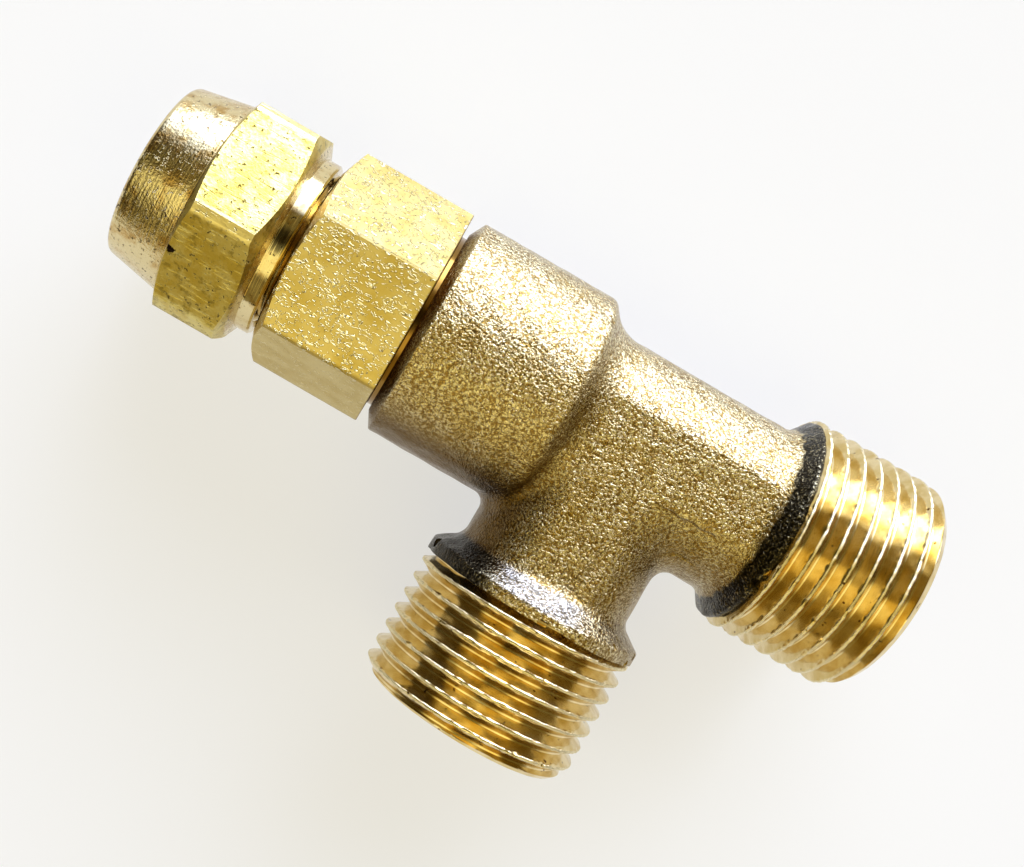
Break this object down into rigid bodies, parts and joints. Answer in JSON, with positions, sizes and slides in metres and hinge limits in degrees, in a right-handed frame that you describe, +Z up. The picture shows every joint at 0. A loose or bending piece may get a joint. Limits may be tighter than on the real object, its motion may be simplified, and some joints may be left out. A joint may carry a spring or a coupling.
{
  "type": "non-return valve",
  "caption": "Brass tee check valve with a compression tube nut at the inlet, a spring-loaded disc inside, and two parallel pipe threads at right angles.",
  "frame": {"origin": "on the axis of the tank thread, at the collar's face where that thread begins", "axes": "+X along the run out of the tank thread, -Y out of the branch, +Z up out of the plane of the tee"},
  "size_m": [0.0605, 0.0319, 0.018],
  "materials": {
    "forged_brass": "forged and blasted, threads machined bright",
    "turned_brass": "turned from drawn bar",
    "nut_brass": "turned, handled and slightly worn",
    "ferrule_brass": "turned bright",
    "spring_steel": "drawn stainless wire",
    "nitrile": "matte black"
  },
  "bodies": {
    "valve": {"valve_body": "forged_brass", "inlet_adapter": "turned_brass", "bonnet_ring": "nitrile", "return_spring": "spring_steel"},
    "olive": {"ferrule": "ferrule_brass"},
    "tube_nut": {"compression_nut": "nut_brass"},
    "piston": {"valve_piston": "turned_brass", "seal_disc": "nitrile"}
  },
  "joints": [
    {"name": "piston_lift", "type": "slide", "parent": "valve", "child": "piston", "axis": [1, 0, 0], "range_m": [0, 0.0022], "stiffness_N_per_m": 150, "springref_m": -0.004, "deforming": ["return_spring"]},
    {"name": "olive_slide", "type": "slide", "parent": "valve", "child": "olive", "axis": [-1, 0, 0], "range_m": [0, 0.004]},
    {"name": "nut_spin", "type": "hinge", "parent": "olive", "child": "tube_nut", "pos_m": [-0.0435, 0, 0], "axis": [-1, 0, 0], "range_deg": [0, 1440]}
  ],
  "couplings": [
    {"joint": "nut_spin", "follows": "olive_slide", "rad_per_m": 6283.1}
  ]
}
